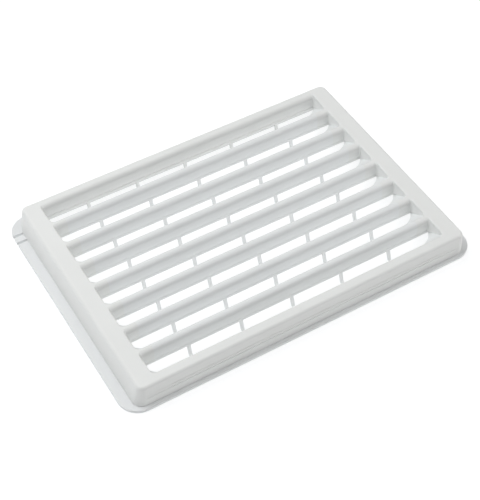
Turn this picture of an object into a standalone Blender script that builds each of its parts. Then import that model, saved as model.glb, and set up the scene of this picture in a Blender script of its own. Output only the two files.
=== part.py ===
"""Queen excluder insert: a flanged white grille with eight long bee slots.

The grille is made of four rails, seven bars between the slots, a sloped web in each slot corner,
and a flat rim round the foot. Every bar and the back rail stand on a row of small feet.
Long side along X, origin at the centre of the flat underside.
"""
import math

import bmesh
import bpy

MM = 0.001

# Driving dimensions of the grille
SLOT_COUNT = 8
SLOT_PITCH = 6.5 * MM
SLOT_WIDTH = 4.8 * MM          # between bar faces
SLOT_LENGTH = 70.0 * MM
BEE_GAP = 4.3 * MM             # clear gap between the lips at the foot of the bars
BAR_DEPTH = 3.9 * MM
LIP_HEIGHT = 0.5 * MM
FEET_PER_BAR = 5
FOOT_PITCH = 12.25 * MM
FOOT_OFFSET = 0.25 * MM        # the middle foot stands a little to the right of centre
FOOT_WIDTH = 0.8 * MM          # along the bar
FOOT_DEPTH = 0.6 * MM          # across the bar
FOOT_INSET = 0.05 * MM         # from the front of the lip to the foot's front face
FOOT_RAKE = 0.9 * MM           # how far the tip stands in front of the root
FOOT_TAPER = 0.03 * MM         # per side, over the foot's height

# Driving dimensions of the frame
TOTAL_HEIGHT = 6.5 * MM
RIM_LENGTH = 84.6 * MM
RIM_WIDTH = 58.6 * MM
RIM_THICKNESS = 0.8 * MM
RIM_CORNER_RADIUS = 4.55 * MM
BODY_LENGTH = 80.0 * MM        # at the foot of the walls
BODY_WIDTH = 55.6 * MM
BODY_CORNER_RADIUS = 2.3 * MM
CORNER_TAPER = 0.8 * MM        # how much tighter the upright corners get towards the top
BODY_OFFSET_Y = -0.75 * MM     # the rim is wider at the back than at the front
END_DRAFT = 0.9 * MM           # how far the end walls lean in over their height
SIDE_DRAFT = 0.2 * MM
TOP_EDGE_RADIUS = 0.6 * MM
CAP_THICKNESS = 1.6 * MM
WALL_THICKNESS = 0.9 * MM
SLOT_END_WALL = 1.3 * MM

# Corner webs, the tongue in the rim and the play between neighbouring members
WEB_LEG_LEFT = 1.8 * MM        # the webs at the left end are much shorter
WEB_LEG_RIGHT = 4.2 * MM
WEB_TIP_DROP = 0.7 * MM
WEB_FOOT_HEIGHT = 0.5 * MM
TONGUE_WIDTH = 1.4 * MM
TONGUE_SLIT = 0.75 * MM
TONGUE_Y = 23.6 * MM
PLAY = 0.3 * MM
BAR_EDGE_RADIUS = 0.45 * MM

# Worked out from the above
LIP_WIDTH = (SLOT_WIDTH - BEE_GAP) / 2
BAR_WIDTH = SLOT_PITCH - SLOT_WIDTH
BAR_BOTTOM = TOTAL_HEIGHT - BAR_DEPTH
SLOT_END_X = SLOT_LENGTH / 2
GRID_WIDTH = (SLOT_COUNT - 1) * SLOT_PITCH + SLOT_WIDTH
GRID_FRONT = BODY_OFFSET_Y - GRID_WIDTH / 2
GRID_BACK = BODY_OFFSET_Y + GRID_WIDTH / 2
BODY_FRONT = BODY_OFFSET_Y - BODY_WIDTH / 2
BODY_BACK = BODY_OFFSET_Y + BODY_WIDTH / 2
ARC_STEPS = 6


def clear_scene():
    for item in list(bpy.data.objects):
        bpy.data.objects.remove(item, do_unlink=True)


def plastic(name, colour, roughness):
    """White injection-moulded plastic."""
    material = bpy.data.materials.new(name)
    material.use_nodes = True
    shader = material.node_tree.nodes["Principled BSDF"]
    shader.inputs["Base Color"].default_value = (*colour, 1.0)
    shader.inputs["Roughness"].default_value = roughness
    shader.inputs["Metallic"].default_value = 0.0
    material.diffuse_color = (*colour, 1.0)
    return material


def add_object(name, mesh_builder, material, parent):
    """Make a named object from a function that fills a bmesh."""
    mesh = bpy.data.meshes.new(name)
    work = bmesh.new()
    mesh_builder(work)
    bmesh.ops.recalc_face_normals(work, faces=work.faces)
    work.to_mesh(mesh)
    work.free()
    item = bpy.data.objects.new(name, mesh)
    if material is not None:
        mesh.materials.append(material)
    item.parent = parent
    bpy.context.collection.objects.link(item)
    return item


def loft(work, rings):
    """Skin a stack of closed rings that have the same number of points, and cap both ends."""
    layers = [[work.verts.new(point) for point in ring] for ring in rings]
    count = len(rings[0])
    for lower, upper in zip(layers, layers[1:]):
        for index in range(count):
            following = (index + 1) % count
            work.faces.new((lower[index], lower[following], upper[following], upper[index]))
    work.faces.new(list(reversed(layers[0])))
    work.faces.new(layers[-1])


def arc(centre_x, centre_y, radius, start_degrees, end_degrees, steps=ARC_STEPS):
    """Points along an arc, both ends included."""
    points = []
    for step in range(steps + 1):
        angle = math.radians(start_degrees + (end_degrees - start_degrees) * step / steps)
        points.append((centre_x + radius * math.cos(angle), centre_y + radius * math.sin(angle)))
    return points


def end_outline(outer, inner, front, back, radius):
    """Plan of a strip along one end: square at the inner side, both outer corners rounded."""
    outline = [(inner, back)]
    outline += arc(outer + radius, back - radius, radius, 90, 180)
    outline += arc(outer + radius, front + radius, radius, 180, 270)
    outline.append((inner, front))
    return outline


def mirrored(outline, side):
    """Turn a left-hand outline (side -1) into a right-hand one (side 1)."""
    return [(-side * x, y) for x, y in outline]


def at_height(outline, height):
    return [(x, y, height) for x, y in outline]


def wall_levels():
    """Heights up an outer wall, each with how far the wall has leaned and rounded in there."""
    levels = [(0.0, 0.0, 0.0), (RIM_THICKNESS, 0.0, 0.0)]
    shoulder = TOTAL_HEIGHT - TOP_EDGE_RADIUS
    for step in range(ARC_STEPS + 1):
        angle = math.pi / 2 * step / ARC_STEPS
        height = shoulder + TOP_EDGE_RADIUS * math.sin(angle)
        rounding = TOP_EDGE_RADIUS * (1 - math.cos(angle))
        lean = (height - RIM_THICKNESS) / (TOTAL_HEIGHT - RIM_THICKNESS)
        levels.append((height, lean, rounding))
    return levels


def end_rail(side):
    """Body of the left or right rail: the wall leans in and rounds over into the top."""
    def build(work):
        rings = []
        for height, lean, rounding in wall_levels():
            outer = -BODY_LENGTH / 2 + END_DRAFT * lean + rounding
            front = BODY_FRONT + SIDE_DRAFT * lean + rounding
            back = BODY_BACK - SIDE_DRAFT * lean - rounding
            radius = BODY_CORNER_RADIUS - CORNER_TAPER * lean - rounding
            outline = end_outline(outer, -SLOT_END_X, front, back, radius)
            rings.append(at_height(mirrored(outline, side), height))
        loft(work, rings)
    return build


def rail_core(side):
    """Stepped space under an end rail, between its outer wall and the slot end wall."""
    wall = BODY_LENGTH / 2 - WALL_THICKNESS - END_DRAFT / 2
    profile = [
        (-wall, -RIM_THICKNESS),
        (-wall, TOTAL_HEIGHT - CAP_THICKNESS),
        (-SLOT_END_X - SLOT_END_WALL, TOTAL_HEIGHT - CAP_THICKNESS),
        (-SLOT_END_X - SLOT_END_WALL, BAR_BOTTOM),
        (-SLOT_END_X + WALL_THICKNESS, BAR_BOTTOM),
        (-SLOT_END_X + WALL_THICKNESS, -RIM_THICKNESS),
    ]
    front = GRID_FRONT
    back = GRID_BACK

    def build(work):
        turned = mirrored(profile, side)
        loft(work, [[(x, front, z) for x, z in turned], [(x, back, z) for x, z in turned]])
    return build


def along_x(profile, start, end):
    """A solid whose cross-section in Y and Z is the same all along X."""
    def build(work):
        loft(work, [[(start, y, z) for y, z in profile], [(end, y, z) for y, z in profile]])
    return build


def side_rail_profile(facing):
    """Front rail section for facing -1, back rail section for facing 1."""
    outer = BODY_WIDTH / 2
    inner = GRID_WIDTH / 2
    skirt = outer - WALL_THICKNESS
    profile = [
        (skirt, 0.0),
        (skirt, BAR_BOTTOM),
        (inner - LIP_WIDTH, BAR_BOTTOM),
        (inner - LIP_WIDTH, BAR_BOTTOM + LIP_HEIGHT),
        (inner, BAR_BOTTOM + LIP_HEIGHT),
        (inner, TOTAL_HEIGHT),
    ]
    for height, lean, rounding in reversed(wall_levels()):
        profile.append((outer - SIDE_DRAFT * lean - rounding, height))
    return [(BODY_OFFSET_Y + facing * y, z) for y, z in profile]


def bar_profile():
    """Section of a bar: rounded top edges, straight faces and a lip on both sides of the foot."""
    half = BAR_WIDTH / 2
    foot = half + LIP_WIDTH
    shoulder = TOTAL_HEIGHT - BAR_EDGE_RADIUS
    profile = [
        (-foot, BAR_BOTTOM),
        (foot, BAR_BOTTOM),
        (foot, BAR_BOTTOM + LIP_HEIGHT),
        (half, BAR_BOTTOM + LIP_HEIGHT),
    ]
    profile += arc(half - BAR_EDGE_RADIUS, shoulder, BAR_EDGE_RADIUS, 0, 90, 3)
    profile += arc(-half + BAR_EDGE_RADIUS, shoulder, BAR_EDGE_RADIUS, 90, 180, 3)
    profile.append((-half, BAR_BOTTOM + LIP_HEIGHT))
    profile.append((-foot, BAR_BOTTOM + LIP_HEIGHT))
    return profile


def rectangle(x_start, x_end, y_start, y_end):
    return [(x_start, y_start), (x_end, y_start), (x_end, y_end), (x_start, y_end)]


def combine(item, operation, tool):
    """Take the tool's shape out of an object (DIFFERENCE) or grow it onto the object (UNION)."""
    modifier = item.modifiers.new("combine", "BOOLEAN")
    modifier.operation = operation
    modifier.solver = "EXACT"
    modifier.object = tool


def hidden_tool(name, mesh_builder, parent):
    tool = add_object(name, mesh_builder, None, parent)
    tool.hide_render = True
    tool.display_type = "WIRE"
    return tool


def make_end_rails(material, parent):
    for name, side in (("left", -1), ("right", 1)):
        rail = add_object(name + "_rail", end_rail(side), material, parent)
        combine(rail, "DIFFERENCE", hidden_tool(name + "_rail_core", rail_core(side), parent))


def feet_row(work):
    """Short raked posts in a row along X, from the base plane up into the member above them."""
    for index in range(FEET_PER_BAR):
        centre = FOOT_OFFSET + (index - (FEET_PER_BAR - 1) / 2) * FOOT_PITCH
        rings = []
        for height, inset, shift in (
            (0.0, FOOT_TAPER, -FOOT_RAKE),
            (BAR_BOTTOM, 0.0, 0.0),
            (BAR_BOTTOM + LIP_HEIGHT / 2, 0.0, 0.0),
        ):
            half = FOOT_WIDTH / 2 - inset
            plan = rectangle(centre - half, centre + half, shift + inset, shift + FOOT_DEPTH - inset)
            rings.append(at_height(plan, height))
        loft(work, rings)


def stand_on_feet(item, lip_front, parent):
    """Grow a row of feet under a member whose front lip is at the given Y."""
    feet = hidden_tool(item.name + "_feet", feet_row, parent)
    feet.location.y = lip_front + FOOT_INSET
    combine(item, "UNION", feet)


def make_side_rails(material, parent):
    reach = SLOT_END_X - PLAY
    rails = {}
    for name, facing in (("front_rail", -1), ("back_rail", 1)):
        profile = side_rail_profile(facing)
        rails[name] = add_object(name, along_x(profile, -reach, reach), material, parent)
    stand_on_feet(rails["back_rail"], GRID_BACK - LIP_WIDTH, parent)


def make_bars(material, parent):
    """Seven equal bars, numbered from the front."""
    reach = SLOT_END_X - PLAY
    for number in range(1, SLOT_COUNT):
        bar = add_object(f"bar_{number}", along_x(bar_profile(), -reach, reach), material, parent)
        bar.location.y = GRID_FRONT + number * SLOT_PITCH - BAR_WIDTH / 2
        stand_on_feet(bar, bar.location.y - BAR_WIDTH / 2 - LIP_WIDTH, parent)


def corner_web(side):
    """Wedge in the front corner of a slot end: its top falls towards the back of the slot."""
    end = -SLOT_END_X + PLAY
    front = LIP_WIDTH + PLAY
    back = SLOT_WIDTH - LIP_WIDTH - PLAY
    leg = WEB_LEG_LEFT if side < 0 else WEB_LEG_RIGHT
    plan = [(end, front), (end + leg, front), (end, back)]
    tops = [TOTAL_HEIGHT - WEB_TIP_DROP, BAR_BOTTOM + BAR_DEPTH / 2, BAR_BOTTOM + WEB_FOOT_HEIGHT]

    def build(work):
        turned = mirrored(plan, side)
        roof = [(x, y, top) for (x, y), top in zip(turned, tops)]
        loft(work, [at_height(turned, BAR_BOTTOM), roof])
    return build


def make_corner_webs(material, parent):
    for name, side in (("left", -1), ("right", 1)):
        for index in range(SLOT_COUNT):
            web_name = f"corner_web_{name}_{index + 1}"
            web = add_object(web_name, corner_web(side), material, parent)
            web.location.y = GRID_FRONT + index * SLOT_PITCH


def slab(outline):
    """A flat strip of the rim."""
    def build(work):
        loft(work, [at_height(outline, 0.0), at_height(outline, RIM_THICKNESS)])
    return build


def corner_run(centre_x, centre_y, radius, limit):
    """Points round a back left corner, from the height of limit on the left side to its top."""
    overrun = (limit - centre_y) / radius
    if overrun < 0:
        return [(centre_x - radius, limit)] + arc(centre_x, centre_y, radius, 180, 90)
    return arc(centre_x, centre_y, radius, 180 - math.degrees(math.asin(overrun)), 90)


def rim_corner(facing, limit):
    """Back left (1) or front left (-1) corner of the rim, from limit round to the body's corner end."""
    centre_x = -BODY_LENGTH / 2 + BODY_CORNER_RADIUS
    body_edge = BODY_WIDTH / 2 + facing * BODY_OFFSET_Y
    rim_edge = RIM_WIDTH / 2
    rim_centre_x = -RIM_LENGTH / 2 + RIM_CORNER_RADIUS
    outside = corner_run(rim_centre_x, rim_edge - RIM_CORNER_RADIUS, RIM_CORNER_RADIUS, limit)
    inside = corner_run(centre_x, body_edge - BODY_CORNER_RADIUS, BODY_CORNER_RADIUS + PLAY, limit)
    outline = outside + [(centre_x, rim_edge)] + list(reversed(inside))
    return [(x, facing * y) for x, y in outline]


def make_rim(material, parent):
    """Flat rim round the foot of the walls; two slits leave a narrow tongue at the back left."""
    outer_x = -RIM_LENGTH / 2
    inner_x = -BODY_LENGTH / 2 - PLAY
    front_corner_end = -RIM_WIDTH / 2 + RIM_CORNER_RADIUS
    back_corner_end = BODY_BACK - BODY_CORNER_RADIUS
    tongue_front = TONGUE_Y - TONGUE_WIDTH / 2
    tongue_back = TONGUE_Y + TONGUE_WIDTH / 2
    strip_start = front_corner_end + PLAY
    left_strip = rectangle(outer_x, inner_x, strip_start, tongue_front - TONGUE_SLIT)
    right_strip = rectangle(outer_x, inner_x, strip_start, back_corner_end - PLAY)
    reach = BODY_LENGTH / 2 - BODY_CORNER_RADIUS - PLAY
    parts = {
        "left_rim": left_strip,
        "rim_tongue": rectangle(outer_x, inner_x, tongue_front, tongue_back),
        "right_rim": mirrored(right_strip, 1),
        "front_rim": rectangle(-reach, reach, -RIM_WIDTH / 2, BODY_FRONT - PLAY),
        "back_rim": rectangle(-reach, reach, BODY_BACK + PLAY, RIM_WIDTH / 2),
        "rim_corner_front_left": rim_corner(-1, -front_corner_end),
        "rim_corner_front_right": mirrored(rim_corner(-1, -front_corner_end), 1),
        "rim_corner_back_left": rim_corner(1, tongue_back + TONGUE_SLIT),
        "rim_corner_back_right": mirrored(rim_corner(1, back_corner_end), 1),
    }
    for name, outline in parts.items():
        add_object(name, slab(outline), material, parent)


def main():
    clear_scene()
    base = bpy.data.objects.new("queen_excluder", None)
    bpy.context.collection.objects.link(base)
    frame_plastic = plastic("frame_plastic", (0.74, 0.75, 0.74), 0.42)
    bar_plastic = plastic("bar_plastic", (0.72, 0.74, 0.74), 0.42)
    rim_plastic = plastic("rim_plastic", (0.74, 0.76, 0.76), 0.42)
    make_end_rails(frame_plastic, base)
    make_side_rails(frame_plastic, base)
    make_bars(bar_plastic, base)
    make_corner_webs(bar_plastic, base)
    make_rim(rim_plastic, base)


main()
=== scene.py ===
"""Queen excluder insert: the finished look of one near-white moulded grille.

Every member of the moulding is its own closed piece. Neighbouring pieces meet face to face on a
straight stretch, with the same section on both sides, so the surface runs on without a step.
"""

import math

import bmesh
import bpy
from mathutils import Matrix, Vector


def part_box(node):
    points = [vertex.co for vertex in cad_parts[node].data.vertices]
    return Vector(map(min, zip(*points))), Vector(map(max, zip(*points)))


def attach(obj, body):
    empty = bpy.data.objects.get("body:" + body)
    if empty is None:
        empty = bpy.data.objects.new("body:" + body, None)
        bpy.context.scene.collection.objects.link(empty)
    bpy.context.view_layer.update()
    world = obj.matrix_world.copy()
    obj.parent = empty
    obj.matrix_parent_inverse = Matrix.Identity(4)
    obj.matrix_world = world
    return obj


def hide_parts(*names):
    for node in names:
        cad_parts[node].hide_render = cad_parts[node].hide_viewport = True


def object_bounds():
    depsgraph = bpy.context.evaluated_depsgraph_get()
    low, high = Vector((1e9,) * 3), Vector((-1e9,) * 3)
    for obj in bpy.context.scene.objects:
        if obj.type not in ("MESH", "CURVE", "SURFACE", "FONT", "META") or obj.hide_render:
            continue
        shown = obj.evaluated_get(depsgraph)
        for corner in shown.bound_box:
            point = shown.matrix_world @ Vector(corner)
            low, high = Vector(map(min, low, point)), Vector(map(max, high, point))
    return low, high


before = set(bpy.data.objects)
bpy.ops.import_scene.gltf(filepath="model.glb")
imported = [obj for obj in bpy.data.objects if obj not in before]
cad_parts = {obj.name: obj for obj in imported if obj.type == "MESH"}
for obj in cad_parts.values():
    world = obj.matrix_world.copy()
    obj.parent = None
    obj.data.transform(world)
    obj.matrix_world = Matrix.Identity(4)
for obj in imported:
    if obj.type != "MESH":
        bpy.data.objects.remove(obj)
cad_low, cad_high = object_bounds()

MM = 0.001
SLOT_COUNT = 8
FEET_PER_BAR = 5

# ---------------------------------------------------------------- sizes read from the frame
left_low, left_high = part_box("left_rail")
right_low, right_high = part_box("right_rail")
bar_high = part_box("bar_1")[1]
second_bar_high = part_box("bar_2")[1]
rim_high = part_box("left_rim")[1]

TOP = left_high.z
FRONT = left_low.y
BACK = left_high.y
LEFT = left_low.x
RIGHT = right_high.x
SLOT_END = right_low.x
BAR_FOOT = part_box("corner_web_left_1")[0].z
PITCH = second_bar_high.y - bar_high.y
RIM_TOP = rim_high.z
RIM_RIGHT = cad_high.x
RIM_BACK = cad_high.y

# ---------------------------------------------------------------- fine sizes of the moulding
SLOT_WIDTH = 4.8 * MM           # between bar faces, above the ledges
LIP = 0.25 * MM                 # ledge at the foot of every bar
LIP_HEIGHT = 0.5 * MM
LIP_SOFTENING = 0.11 * MM
BACK_EDGE_ROUND = 0.5 * MM      # top edge of a bar that faces the back
FRONT_EDGE_ROUND = 1.1 * MM     # top edge of a bar that faces the front
END_EDGE_ROUND = 0.3 * MM
SLOT_FRONT_CORNER = 1.0 * MM    # plan radius where the slot's front side meets its end
SLOT_BACK_CORNER = 0.3 * MM
END_DRAFT = 0.9 * MM            # lean of the end walls over their height
SIDE_DRAFT = 0.2 * MM
OUTER_ROUND = 0.62 * MM         # rounded top edge of the frame
BODY_CORNER = 2.3 * MM
CORNER_TAPER = 0.8 * MM         # how much tighter the upright corners get towards the top
RIM_CORNER = 4.55 * MM
RIM_SOFTENING = 0.12 * MM
WALL = 0.9 * MM
CAP = 1.6 * MM
SLOT_END_WALL = 1.3 * MM
STEP_CORNER = 1.4 * MM          # plan radius of the wide recess under each end
CORE_CORNER = 1.2 * MM          # plan radius of the narrow core above that recess
STUB = 3.0 * MM                 # length of bar that belongs to each end piece
GROOVE_HEIGHTS = (3.9 * MM, 3.02 * MM)
GROOVE_DEPTHS = (0.10 * MM, 0.20 * MM)
GROOVE_HALF_WIDTH = 0.12 * MM
FOOT_PITCH = 12.25 * MM
FOOT_OFFSET = 0.25 * MM         # the middle foot stands a little to the right of centre
FOOT_RAKE = 0.9 * MM            # how far the tip stands in front of the root
FOOT_WIDTH = 0.8 * MM
FOOT_DEPTH = 0.58 * MM
FOOT_TAPER = 0.03 * MM          # per side, from the bar down to the tip
FOOT_FLARE = 0.10 * MM          # how far the root spreads where it runs into the bar
FOOT_SOFTENING = 0.10 * MM      # plan radius of its upright edges
BURIED = 0.03 * MM              # how far a piece sinks into its neighbour
RIM_BURIED = 4 * BURIED         # the same for the rim, which meets a leaning wall
WEB_REACH_LEFT = 2.0 * MM
WEB_REACH_RIGHT = 6.3 * MM
WEB_TOP_DROP = 0.33 * MM
WEB_TIP_FALL = 0.45 * MM        # how far a web's top falls from the corner out to its tip
WEB_BEND_ALONG = 0.43           # pull of the free edge's curve, as a share of the reach
WEB_BEND_BACK = 0.15            # the same, as a share of the slot's width
WEB_SLOPE_POWER = 0.9           # under 1, the top falls a little faster next to the front side
TONGUE_SLIT = 0.75 * MM
EDGE_STEPS = 8                  # faces in a quarter round
WEB_EDGE_STEPS = 14             # faces along a web's free edge
WEB_ROWS = 6                    # faces from a web's corner out to that edge

# ---------------------------------------------------------------- lighting
BOX_SIZE = 0.45
BOX_DISTANCE = 0.6
ROOM_LIGHT = 0.02
FLOOR_GLOW = 0.74
FLOOR_GREY = 0.35
FLOOR_GLOW_COLOUR = (0.985, 0.995, 1.0, 1)
FLOOR_SIZE = 3.0                # half the side of the square floor
FLOOR_DROP = 0.05 * MM          # keeps the floor just clear of the rim's underside
SOFTBOXES = (                   # name, azimuth and elevation in degrees, colour
    ("back_box", 90, 45, (0.215, 0.215, 0.21)),
    ("back_left_box", 135, 57, (0.46, 0.465, 0.47)),
    ("left_box", 180, 48, (0.26, 0.26, 0.26)),
    ("right_box", 0, 35, (0.15, 0.15, 0.15)),
    ("front_box", 290, 64, (0.20, 0.20, 0.20)),
    ("front_right_box", 325, 30, (0.215, 0.21, 0.205)),
)

# ---------------------------------------------------------------- plastic
FRAME_COLOUR = (0.80, 0.81, 0.80)
# painted light: the bars are the same plastic as the frame. Their cooler, slightly lighter colour is
# the painted bluish tint of the light from below on their shaded faces.
BAR_COLOUR_WITH_PAINTED_COOL_LIGHT = (0.81, 0.825, 0.828)
# painted shade: the rim is the same plastic as the frame. Its cooler, slightly darker colour is
# painted cool shade on the flange.
RIM_COLOUR_WITH_PAINTED_COOL_SHADE = (0.785, 0.80, 0.806)
ROUGHNESS = 0.42

# ---------------------------------------------------------------- camera
CAMERA_AZIMUTH = -31.1          # degrees round from the front; negative is to the left
CAMERA_ELEVATION = 49.4
CAMERA_ROLL = 0.3
CAMERA_DISTANCE = 255.4 * MM
CAMERA_AIM = (-4.3 * MM, -7.7 * MM)
CAMERA_LENS = 87.7

FIRST_SLOT = bar_high.y - LIP - PITCH
SEAM = SLOT_END - STUB


def slot_front(index):
    """Y of the face that closes a slot at its front side; slot 0 is the front one."""
    return FIRST_SLOT + index * PITCH


# ---------------------------------------------------------------- mesh helpers
def make_piece(name, fill, smooth_angle=35):
    """A closed, smooth-shaded mesh object from a function that fills a bmesh."""
    work = bmesh.new()
    fill(work)
    bmesh.ops.remove_doubles(work, verts=work.verts, dist=1e-7)
    bmesh.ops.recalc_face_normals(work, faces=work.faces)
    mesh = bpy.data.meshes.new(name)
    work.to_mesh(mesh)
    work.free()
    piece = bpy.data.objects.new(name, mesh)
    bpy.context.scene.collection.objects.link(piece)
    shade(piece, smooth_angle)
    return piece


def shade(piece, smooth_angle=35):
    piece.data.shade_smooth()
    piece.data.set_sharp_from_angle(angle=math.radians(smooth_angle))


def loft(work, rings):
    """Skin a stack of closed rings with equal point counts, and cap both ends."""
    layers = [[work.verts.new(point) for point in ring] for ring in rings]
    count = len(rings[0])
    for lower, upper in zip(layers, layers[1:]):
        for index in range(count):
            following = (index + 1) % count
            work.faces.new((lower[index], lower[following], upper[following], upper[index]))
    work.faces.new(list(reversed(layers[0])))
    work.faces.new(layers[-1])


def arc(centre_x, centre_y, radius, start, end, steps=EDGE_STEPS):
    points = []
    for step in range(steps + 1):
        angle = math.radians(start + (end - start) * step / steps)
        points.append((centre_x + radius * math.cos(angle), centre_y + radius * math.sin(angle)))
    return points


def rounding(radius):
    """Quarter round from a flat top into a wall: (how far out from the wall, how far down)."""
    pairs = []
    for step in range(EDGE_STEPS + 1):
        angle = math.pi / 2 * step / EDGE_STEPS
        pairs.append((radius * (1 - math.sin(angle)), radius * (1 - math.cos(angle))))
    return pairs


def add_weighted_normals(piece):
    modifier = piece.modifiers.new("even_shading", "WEIGHTED_NORMAL")
    modifier.keep_sharp = True
    modifier.weight = 100


def combine(piece, operation, tools, smooth_angle=35):
    """Cut the tools out of the piece, or grow them onto it, and keep the result as its mesh."""
    for tool in tools:
        modifier = piece.modifiers.new("combine", "BOOLEAN")
        modifier.operation = operation
        modifier.solver = "EXACT"
        modifier.object = tool
    bpy.context.view_layer.update()
    graph = bpy.context.evaluated_depsgraph_get()
    result = bpy.data.meshes.new_from_object(piece.evaluated_get(graph))
    piece.modifiers.clear()
    piece.data = result
    for tool in tools:
        bpy.data.objects.remove(tool, do_unlink=True)
    shade(piece, smooth_angle)


# ---------------------------------------------------------------- sections
def slot_side(radius):
    """Section of a slot's long side, top to foot: (distance outside the slot face, height)."""
    section = [(out, TOP - down) for out, down in rounding(radius)]
    lip_top = BAR_FOOT + LIP_HEIGHT
    section.append((0.0, lip_top + LIP_SOFTENING))
    section.append((-LIP + LIP_SOFTENING, lip_top))
    section.append((-LIP, lip_top - LIP_SOFTENING))
    section.append((-LIP, BAR_FOOT + LIP_SOFTENING))
    section.append((-LIP + LIP_SOFTENING, BAR_FOOT))
    return section


def slot_end_section():
    """Section of a slot's end, level for level with slot_side."""
    section = [(out, TOP - down) for out, down in rounding(END_EDGE_ROUND)]
    lip_top = BAR_FOOT + LIP_HEIGHT
    for height in (lip_top + LIP_SOFTENING, lip_top, lip_top - LIP_SOFTENING):
        section.append((0.0, height))
    section.append((0.0, BAR_FOOT + LIP_SOFTENING))
    section.append((LIP_SOFTENING, BAR_FOOT))
    return section


def lean_at(height):
    """Share of the wall's lean reached at a height; the foot beside the rim is upright."""
    return max(0.0, (height - RIM_TOP) / (TOP - RIM_TOP))


def wall_levels():
    """Outer wall from foot to top: (height, share of the lean, inset by the rounding, groove)."""
    heights = [(0.0, 0.0), (RIM_TOP, 0.0)]
    for centre, depth in sorted(zip(GROOVE_HEIGHTS, GROOVE_DEPTHS)):
        heights.append((centre - GROOVE_HALF_WIDTH, 0.0))
        heights.append((centre, depth))
        heights.append((centre + GROOVE_HALF_WIDTH, 0.0))
    levels = [(height, lean_at(height), 0.0, groove) for height, groove in heights]
    for out, down in reversed(rounding(OUTER_ROUND)):
        height = TOP - down
        levels.append((height, lean_at(height), out, 0.0))
    return levels


# ---------------------------------------------------------------- long members
def along_x(section, start, end):
    def fill(work):
        loft(work, [[(start, y, z) for y, z in section], [(end, y, z) for y, z in section]])
    return fill


def bar_section(index):
    """Bar between slot index-1 in front of it and slot index behind it."""
    front_face = slot_front(index - 1) + SLOT_WIDTH
    back_face = slot_front(index)
    front = [(front_face + out, height) for out, height in slot_side(FRONT_EDGE_ROUND)]
    back = [(back_face - out, height) for out, height in slot_side(BACK_EDGE_ROUND)]
    return front[::-1] + back


def front_rail_section():
    inner = [(slot_front(0) - out, height) for out, height in slot_side(BACK_EDGE_ROUND)]
    outer = []
    for height, lean, inset, groove in wall_levels():
        outer.append((FRONT + SIDE_DRAFT * lean + inset + groove, height))
    skirt = FRONT + WALL
    return outer + inner + [(skirt, BAR_FOOT), (skirt, 0.0)]


def back_rail_section():
    last_face = slot_front(SLOT_COUNT - 1) + SLOT_WIDTH
    inner = [(last_face + out, height) for out, height in slot_side(FRONT_EDGE_ROUND)]
    outer = []
    for height, lean, inset, _ in wall_levels():
        outer.append((BACK - SIDE_DRAFT * lean - inset, height))
    skirt = BACK - WALL
    return outer + inner + [(skirt, BAR_FOOT), (skirt, 0.0)]


def foot_plan(centre, front, inset):
    """Square with rounded corners, pulled in by inset on every side."""
    low_x, high_x = centre - FOOT_WIDTH / 2 + inset, centre + FOOT_WIDTH / 2 - inset
    low_y, high_y = front + inset, front + FOOT_DEPTH - inset
    radius = FOOT_SOFTENING
    plan = arc(high_x - radius, high_y - radius, radius, 0, 90, 3)
    plan += arc(low_x + radius, high_y - radius, radius, 90, 180, 3)
    plan += arc(low_x + radius, low_y + radius, radius, 180, 270, 3)
    plan += arc(high_x - radius, low_y + radius, radius, 270, 360, 3)
    return plan


def feet(name, lip_front):
    """Row of small posts, raked forward, under a bar whose front lip is at the given Y."""
    levels = [(0.0, FOOT_TAPER + RIM_SOFTENING / 2), (RIM_SOFTENING / 2, FOOT_TAPER)]
    for step in range(EDGE_STEPS // 2 + 1):
        angle = math.pi / 2 * step / (EDGE_STEPS // 2)
        height = BAR_FOOT - 4 * FOOT_FLARE * (1 - math.sin(angle))
        levels.append((height, FOOT_FLARE * (math.cos(angle) - 1)))
    levels.append((BAR_FOOT + LIP_HEIGHT / 2, -FOOT_FLARE))

    def fill(work):
        for index in range(FEET_PER_BAR):
            centre = FOOT_OFFSET + (index - (FEET_PER_BAR - 1) / 2) * FOOT_PITCH
            rings = []
            for height, inset in levels:
                rake = FOOT_RAKE * max(0.0, 1 - height / BAR_FOOT)
                plan = foot_plan(centre, lip_front + LIP_SOFTENING + FOOT_FLARE - rake, inset)
                rings.append([(x, y, height) for x, y in plan])
            loft(work, rings)
    return make_piece(name, fill)


def make_bars():
    pieces = []
    for index in range(1, SLOT_COUNT):
        piece = make_piece(f"bar_{index}_moulding", along_x(bar_section(index), -SEAM, SEAM))
        combine(piece, "UNION", [feet(f"bar_{index}_feet", slot_front(index - 1) + SLOT_WIDTH - LIP)])
        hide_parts(f"bar_{index}")
        pieces.append((piece, "bar_plastic"))
    return pieces


def make_side_rails():
    front = make_piece("front_rail_moulding", along_x(front_rail_section(), -SEAM, SEAM))
    back = make_piece("back_rail_moulding", along_x(back_rail_section(), -SEAM, SEAM))
    last_face = slot_front(SLOT_COUNT - 1) + SLOT_WIDTH
    combine(back, "UNION", [feet("back_rail_feet", last_face - LIP)])
    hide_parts("front_rail")
    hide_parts("back_rail")
    return [(front, "frame_plastic"), (back, "frame_plastic")]


# ---------------------------------------------------------------- end pieces
def body_end_ring(height, lean, inset, groove):
    """Plan of the left end piece at one height, from the seam round the corners and back."""
    outer = LEFT + END_DRAFT * lean + inset
    front = FRONT + SIDE_DRAFT * lean + inset
    back = BACK - SIDE_DRAFT * lean - inset
    radius = BODY_CORNER - CORNER_TAPER * lean - inset
    ring = [(-SEAM, back)]
    ring += arc(outer + radius, back - radius, radius, 90, 180, 2 * EDGE_STEPS)
    ring += arc(outer + radius, front + radius, radius, 180, 270, 2 * EDGE_STEPS)
    ring.append((-SEAM, front + groove))
    return [(x, y, height) for x, y in ring]


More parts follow.
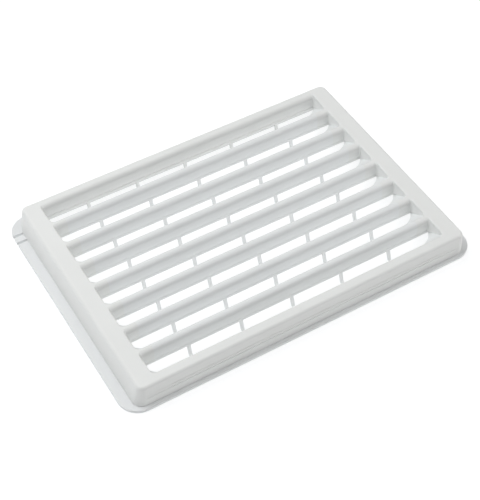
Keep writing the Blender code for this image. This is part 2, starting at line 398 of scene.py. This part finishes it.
def slot_ring(front, side_front, side_back, end):
    """One ring of the cutter for a slot's left end; each argument is a level of a section."""
    back = front + SLOT_WIDTH
    reach = -SEAM + STUB
    ring = []
    plan = [((reach, back), (0, 1))]
    for corner, centre_y, angles in (
        (SLOT_BACK_CORNER, back - SLOT_BACK_CORNER, (90, 180)),
        (SLOT_FRONT_CORNER, front + SLOT_FRONT_CORNER, (180, 270)),
    ):
        for step in range(EDGE_STEPS + 1):
            angle = math.radians(angles[0] + (angles[1] - angles[0]) * step / EDGE_STEPS)
            normal = (math.cos(angle), math.sin(angle))
            point = (-SLOT_END + corner + corner * normal[0], centre_y + corner * normal[1])
            plan.append((point, normal))
    plan.append(((reach, front), (0, -1)))
    for (x, y), (normal_x, normal_y) in plan:
        side = side_back if normal_y > 0 else side_front
        share = normal_x ** 2
        height = share * end[1] + (1 - share) * side[1]
        ring.append((x + normal_x * end[0], y + normal_y * side[0], height))
    return ring


def slot_cutter(index):
    """The void of one slot at the left end, flared at the top and stepped in at the lip."""
    front_side = slot_side(BACK_EDGE_ROUND)
    back_side = slot_side(FRONT_EDGE_ROUND)
    end = slot_end_section()
    rings = [slot_ring(slot_front(index), *levels) for levels in zip(front_side, back_side, end)]
    above = [(x, y, TOP + STUB) for x, y, _ in rings[0]]
    below = [(x, y, BAR_FOOT - STUB) for x, y, _ in rings[-1]]

    def fill(work):
        loft(work, [above] + rings + [below])
    return make_piece(f"slot_void_{index}", fill)


def pocket(name, inner_x, ceiling, shrink, radius):
    """Rounded box under the left end: from the outer wall to inner_x, open at the bottom."""
    outer = LEFT + WALL + END_DRAFT / 2 + shrink
    front = FRONT + WALL + shrink
    back = BACK - WALL - shrink
    plan = [(inner_x, back)]
    plan += arc(outer + radius, back - radius, radius, 90, 180)
    plan += arc(outer + radius, front + radius, radius, 180, 270)
    plan.append((inner_x, front))

    def fill(work):
        loft(work, [[(x, y, z) for x, y in plan] for z in (-WALL, ceiling)])
    return make_piece(name, fill)


def make_left_end():
    def fill(work):
        loft(work, [body_end_ring(*level) for level in wall_levels()])
    piece = make_piece("left_rail_moulding", fill)
    under = [
        pocket("under_step", -SEAM + STUB, BAR_FOOT, 0.0, STEP_CORNER),
        pocket("under_groove", -SLOT_END - SLOT_END_WALL, TOP - CAP, BURIED, CORE_CORNER),
    ]
    combine(piece, "DIFFERENCE", [slot_cutter(index) for index in range(SLOT_COUNT)] + under)
    return piece


def mirror_copy(piece, name):
    """The same shape turned over the YZ plane, with its faces still pointing out."""
    work = bmesh.new()
    work.from_mesh(piece.data)
    work.transform(Matrix.Scale(-1, 4, Vector((1, 0, 0))))
    bmesh.ops.reverse_faces(work, faces=work.faces)
    mesh = bpy.data.meshes.new(name)
    work.to_mesh(mesh)
    work.free()
    copy = bpy.data.objects.new(name, mesh)
    bpy.context.scene.collection.objects.link(copy)
    shade(copy)
    return copy


def make_ends():
    left = make_left_end()
    right = mirror_copy(left, "right_rail_moulding")
    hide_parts("left_rail")
    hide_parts("right_rail")
    return [(left, "frame_plastic"), (right, "frame_plastic")]


# ---------------------------------------------------------------- corner webs
def web_edge(reach):
    """Foot of a web's free edge, from the back of the slot end to the front side: (along, back)."""
    start = (0.0, SLOT_WIDTH - LIP)
    bend = (WEB_BEND_ALONG * reach, WEB_BEND_BACK * SLOT_WIDTH)
    finish = (reach, 0.0)
    points = []
    for step in range(WEB_EDGE_STEPS + 1):
        t = step / WEB_EDGE_STEPS
        blend = ((1 - t) ** 2, 2 * t * (1 - t), t ** 2)
        along = blend[0] * start[0] + blend[1] * bend[0] + blend[2] * finish[0]
        back = blend[0] * start[1] + blend[1] * bend[1] + blend[2] * finish[1]
        points.append((along, back))
    return points


def web_height(along, back, reach):
    """Height of the sloped top: highest in the slot's front corner, down to the lip at the back."""
    drop = TOP - WEB_TOP_DROP - BAR_FOOT - LIP_HEIGHT / 2
    fall = drop * min(1.0, back / (SLOT_WIDTH - LIP)) ** WEB_SLOPE_POWER
    return TOP - WEB_TOP_DROP - fall - WEB_TIP_FALL * along / reach


def make_web(name, side, index, reach):
    """Sloped web in the front corner at one end of a slot, sunk a little into both walls."""
    front = slot_front(index)
    edge = web_edge(reach)
    rows = WEB_ROWS

    def place(along, back, height):
        return (side * (SLOT_END - along), front + back, height)

    def fill(work):
        grid = []
        for along, back in edge:
            line = []
            for row in range(rows + 1):
                share = row / rows
                x, y = along * share, back * share
                height = web_height(x, y, reach)
                line.append(work.verts.new(place(x - BURIED, y - BURIED, height)))
            grid.append(line)
        for one, other in zip(grid, grid[1:]):
            for row in range(rows):
                corners = [one[row], one[row + 1], other[row + 1], other[row]]
                work.faces.new(corners)
        lower_edge = [work.verts.new(place(a - BURIED, b - BURIED, BAR_FOOT)) for a, b in edge]
        lower_corner = work.verts.new(place(-BURIED, -BURIED, BAR_FOOT))
        for number in range(len(edge) - 1):
            upper = (grid[number][rows], grid[number + 1][rows])
            work.faces.new((upper[0], lower_edge[number], lower_edge[number + 1], upper[1]))
        work.faces.new([lower_corner] + lower_edge)
        work.faces.new([grid[0][row] for row in range(rows + 1)] + [lower_edge[0], lower_corner])
        work.faces.new([lower_corner, lower_edge[-1]] + [grid[-1][row] for row in range(rows, -1, -1)])
    return make_piece(name, fill, 50)


def make_webs():
    pieces = []
    for word, side, reach in (("left", -1, WEB_REACH_LEFT), ("right", 1, WEB_REACH_RIGHT)):
        for index in range(SLOT_COUNT):
            node = f"corner_web_{word}_{index + 1}"
            piece = make_web(node + "_moulding", side, index, reach)
            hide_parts(node)
            pieces.append((piece, "bar_plastic"))
    return pieces


# ---------------------------------------------------------------- rim
def rim_levels():
    """Rim from underside to top: (height, how far the outer edge is softened in)."""
    return [
        (0.0, RIM_SOFTENING),
        (RIM_SOFTENING * 0.3, RIM_SOFTENING * 0.3),
        (RIM_SOFTENING, 0.0),
        (RIM_TOP - RIM_SOFTENING, 0.0),
        (RIM_TOP - RIM_SOFTENING * 0.3, RIM_SOFTENING * 0.3),
        (RIM_TOP, RIM_SOFTENING),
    ]


def rim_loft(outer_run, inner_run):
    """A stretch of rim from two matching runs of plan points; only the outer edge is softened."""
    def fill(work):
        rings = []
        for height, softening in rim_levels():
            ring = []
            for (x, y), (normal_x, normal_y) in outer_run:
                ring.append((x - normal_x * softening, y - normal_y * softening, height))
            ring += [(x, y, height) for x, y in reversed(inner_run)]
            rings.append(ring)
        loft(work, rings)
    return fill


def rim_corner_runs(side, facing, limit):
    """Plan of one rim corner from |y| = limit on the end strip to the start of the long strip."""
    centre_x = RIM_RIGHT - RIM_CORNER
    centre_y = RIM_BACK - RIM_CORNER
    outer = []
    start = 0.0
    if limit < centre_y:
        outer.append(((RIM_RIGHT, limit), (1, 0)))
    else:
        start = math.asin((limit - centre_y) / RIM_CORNER)
    steps = 3 * EDGE_STEPS
    for step in range(steps + 1):
        angle = start + (math.pi / 2 - start) * step / steps
        normal = (math.cos(angle), math.sin(angle))
        outer.append(((centre_x + RIM_CORNER * normal[0], centre_y + RIM_CORNER * normal[1]), normal))
    body_edge = BACK if facing > 0 else -FRONT
    inner_x = RIGHT - RIM_BURIED
    inner_y = body_edge - RIM_BURIED
    inner_radius = BODY_CORNER - RIM_BURIED
    inner = []
    bend_y = inner_y - inner_radius
    first = 0.0
    if limit < bend_y:
        inner.append((inner_x, limit))
    else:
        first = math.asin((limit - bend_y) / inner_radius)
    for step in range(steps + 1):
        angle = first + (math.pi / 2 - first) * step / steps
        inner_across = inner_x - inner_radius * (1 - math.cos(angle))
        inner.append((inner_across, bend_y + inner_radius * math.sin(angle)))
    outer.append(((inner[-1][0], RIM_BACK), (0, 1)))
    outer = [((side * x, facing * y), (side * nx, facing * ny)) for (x, y), (nx, ny) in outer]
    inner = [(side * x, facing * y) for x, y in inner]
    return outer, inner


def rim_strip_end(side, front, back):
    """Straight stretch of rim along an end wall."""
    edge = side * RIM_RIGHT
    wall = side * (RIGHT - RIM_BURIED)
    outer = [((edge, front), (side, 0)), ((edge, back), (side, 0))]
    inner = [(wall, front), (wall, back)]
    return outer, inner


def rim_strip_side(facing):
    """Straight stretch of rim along a long wall."""
    reach = RIGHT - BODY_CORNER
    edge = facing * RIM_BACK
    wall = BACK - RIM_BURIED if facing > 0 else FRONT + RIM_BURIED
    outer = [((-reach, edge), (0, facing)), ((reach, edge), (0, facing))]
    inner = [(-reach, wall), (reach, wall)]
    return outer, inner


def make_rim():
    tongue_low, tongue_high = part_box("rim_tongue")
    front_limit = RIM_BACK - RIM_CORNER
    back_limit = BACK - BODY_CORNER
    runs = {
        "left_rim": rim_strip_end(-1, -front_limit, tongue_low.y - TONGUE_SLIT),
        "rim_tongue": rim_strip_end(-1, tongue_low.y, tongue_high.y),
        "right_rim": rim_strip_end(1, -front_limit, back_limit),
        "front_rim": rim_strip_side(-1),
        "back_rim": rim_strip_side(1),
        "rim_corner_front_left": rim_corner_runs(-1, -1, front_limit),
        "rim_corner_front_right": rim_corner_runs(1, -1, front_limit),
        "rim_corner_back_left": rim_corner_runs(-1, 1, tongue_high.y + TONGUE_SLIT),
        "rim_corner_back_right": rim_corner_runs(1, 1, back_limit),
    }
    pieces = []
    for node, (outer, inner) in runs.items():
        piece = make_piece(node + "_moulding", rim_loft(outer, inner), 50)
        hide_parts(node)
        pieces.append((piece, "rim_plastic"))
    return pieces


# ---------------------------------------------------------------- material
def moulded_plastic(name, colour, roughness):
    """Satin moulded polymer: faint mottling, uneven gloss and fine texture from the mould."""
    material = bpy.data.materials.new(name)
    material.use_nodes = True
    tree = material.node_tree
    nodes = tree.nodes
    shader = nodes["Principled BSDF"]
    coordinates = nodes.new("ShaderNodeTexCoord")

    clouds = nodes.new("ShaderNodeTexNoise")
    clouds.inputs["Scale"].default_value = 90.0
    clouds.inputs["Detail"].default_value = 3.0
    tree.links.new(coordinates.outputs["Object"], clouds.inputs["Vector"])
    tint = nodes.new("ShaderNodeValToRGB")
    tint.color_ramp.elements[0].position = 0.3
    tint.color_ramp.elements[0].color = (*[channel * 0.975 for channel in colour], 1)
    tint.color_ramp.elements[1].position = 0.7
    tint.color_ramp.elements[1].color = (*colour, 1)
    tree.links.new(clouds.outputs["Fac"], tint.inputs["Fac"])
    tree.links.new(tint.outputs["Color"], shader.inputs["Base Color"])

    patches = nodes.new("ShaderNodeTexNoise")
    patches.inputs["Scale"].default_value = 400.0
    patches.inputs["Detail"].default_value = 4.0
    tree.links.new(coordinates.outputs["Object"], patches.inputs["Vector"])
    gloss = nodes.new("ShaderNodeMapRange")
    gloss.inputs["To Min"].default_value = roughness - 0.06
    gloss.inputs["To Max"].default_value = roughness + 0.08
    tree.links.new(patches.outputs["Fac"], gloss.inputs["Value"])
    tree.links.new(gloss.outputs["Result"], shader.inputs["Roughness"])

    grain = nodes.new("ShaderNodeTexNoise")
    grain.inputs["Scale"].default_value = 5000.0
    grain.inputs["Detail"].default_value = 2.0
    tree.links.new(coordinates.outputs["Object"], grain.inputs["Vector"])
    bump = nodes.new("ShaderNodeBump")
    bump.inputs["Strength"].default_value = 0.12
    bump.inputs["Distance"].default_value = 0.02 * MM
    tree.links.new(grain.outputs["Fac"], bump.inputs["Height"])
    tree.links.new(bump.outputs["Normal"], shader.inputs["Normal"])

    shader.inputs["Specular IOR Level"].default_value = 0.45
    return material


# ---------------------------------------------------------------- stage, lights, camera
def make_stage():
    """Pale floor, bright enough to read as a plain white sweep."""
    mesh = bpy.data.meshes.new("floor")
    size = FLOOR_SIZE
    corners = [(-size, -size, 0), (size, -size, 0), (size, size, 0), (-size, size, 0)]
    mesh.from_pydata(corners, [], [(0, 1, 2, 3)])
    floor = bpy.data.objects.new("floor", mesh)
    floor.location.z = -FLOOR_DROP
    bpy.context.scene.collection.objects.link(floor)
    material = bpy.data.materials.new("pale_floor")
    material.use_nodes = True
    shader = material.node_tree.nodes["Principled BSDF"]
    shader.inputs["Base Color"].default_value = (FLOOR_GREY, FLOOR_GREY, FLOOR_GREY, 1)
    shader.inputs["Roughness"].default_value = 0.9
    shader.inputs["Specular IOR Level"].default_value = 0.1
    shader.inputs["Emission Color"].default_value = FLOOR_GLOW_COLOUR
    shader.inputs["Emission Strength"].default_value = FLOOR_GLOW
    mesh.materials.append(material)


def softbox(name, azimuth, elevation, colour):
    """Square area light on a sphere round the part; colour 1 lights a facing white card to white."""
    turn = math.radians(azimuth)
    rise = math.radians(elevation)
    level = math.cos(rise)
    toward = Vector((math.cos(turn) * level, math.sin(turn) * level, math.sin(rise)))
    light = bpy.data.lights.new(name, "AREA")
    light.shape = "SQUARE"
    light.size = BOX_SIZE
    light.energy = (math.pi * BOX_DISTANCE) ** 2
    light.color = colour
    lamp = bpy.data.objects.new(name, light)
    lamp.location = toward * BOX_DISTANCE
    lamp.rotation_euler = toward.to_track_quat("Z", "Y").to_euler()
    lamp.visible_camera = False
    bpy.context.scene.collection.objects.link(lamp)


def make_lights():
    """A dim room and six softboxes: the strongest stands high at the back left."""
    world = bpy.data.worlds.new("studio")
    world.use_nodes = True
    background = world.node_tree.nodes["Background"]
    background.inputs["Color"].default_value = (1, 1, 1, 1)
    background.inputs["Strength"].default_value = ROOM_LIGHT
    bpy.context.scene.world = world
    for name, azimuth, elevation, colour in SOFTBOXES:
        softbox(name, azimuth, elevation, colour)


def make_camera():
    """Looks down at the part from in front and from the left."""
    azimuth = math.radians(CAMERA_AZIMUTH)
    elevation = math.radians(CAMERA_ELEVATION)
    roll = math.radians(CAMERA_ROLL)
    aim = Vector((*CAMERA_AIM, TOP))
    data = bpy.data.cameras.new("camera")
    data.lens = CAMERA_LENS
    data.sensor_width = 36.0
    data.clip_start = 0.01
    data.clip_end = 20.0
    camera = bpy.data.objects.new("camera", data)
    bpy.context.scene.collection.objects.link(camera)
    back = Vector((
        math.sin(azimuth) * math.cos(elevation),
        -math.cos(azimuth) * math.cos(elevation),
        math.sin(elevation),
    ))
    camera.location = aim + back * CAMERA_DISTANCE
    turn = (-back).to_track_quat("-Z", "Y").to_matrix().to_4x4() @ Matrix.Rotation(roll, 4, "Z")
    camera.rotation_euler = turn.to_euler()
    bpy.context.scene.camera = camera


# ---------------------------------------------------------------- everything together
def main():
    # The bar and rim finishes are copies of the frame plastic, with painted cool light and shade in
    # their colours.
    finishes = {
        "frame_plastic": moulded_plastic("frame_plastic_satin", FRAME_COLOUR, ROUGHNESS),
        "bar_plastic": moulded_plastic("bar_plastic_satin", BAR_COLOUR_WITH_PAINTED_COOL_LIGHT, ROUGHNESS),
        "rim_plastic": moulded_plastic("rim_plastic_satin", RIM_COLOUR_WITH_PAINTED_COOL_SHADE, ROUGHNESS),
    }
    pieces = make_ends() + make_side_rails() + make_bars() + make_webs() + make_rim()
    for piece, slot in pieces:
        piece.data.materials.clear()
        piece.data.materials.append(finishes[slot])
        add_weighted_normals(piece)
        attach(piece, "root")
    make_stage()
    make_lights()
    make_camera()
    bpy.context.scene.view_settings.view_transform = "Standard"


main()
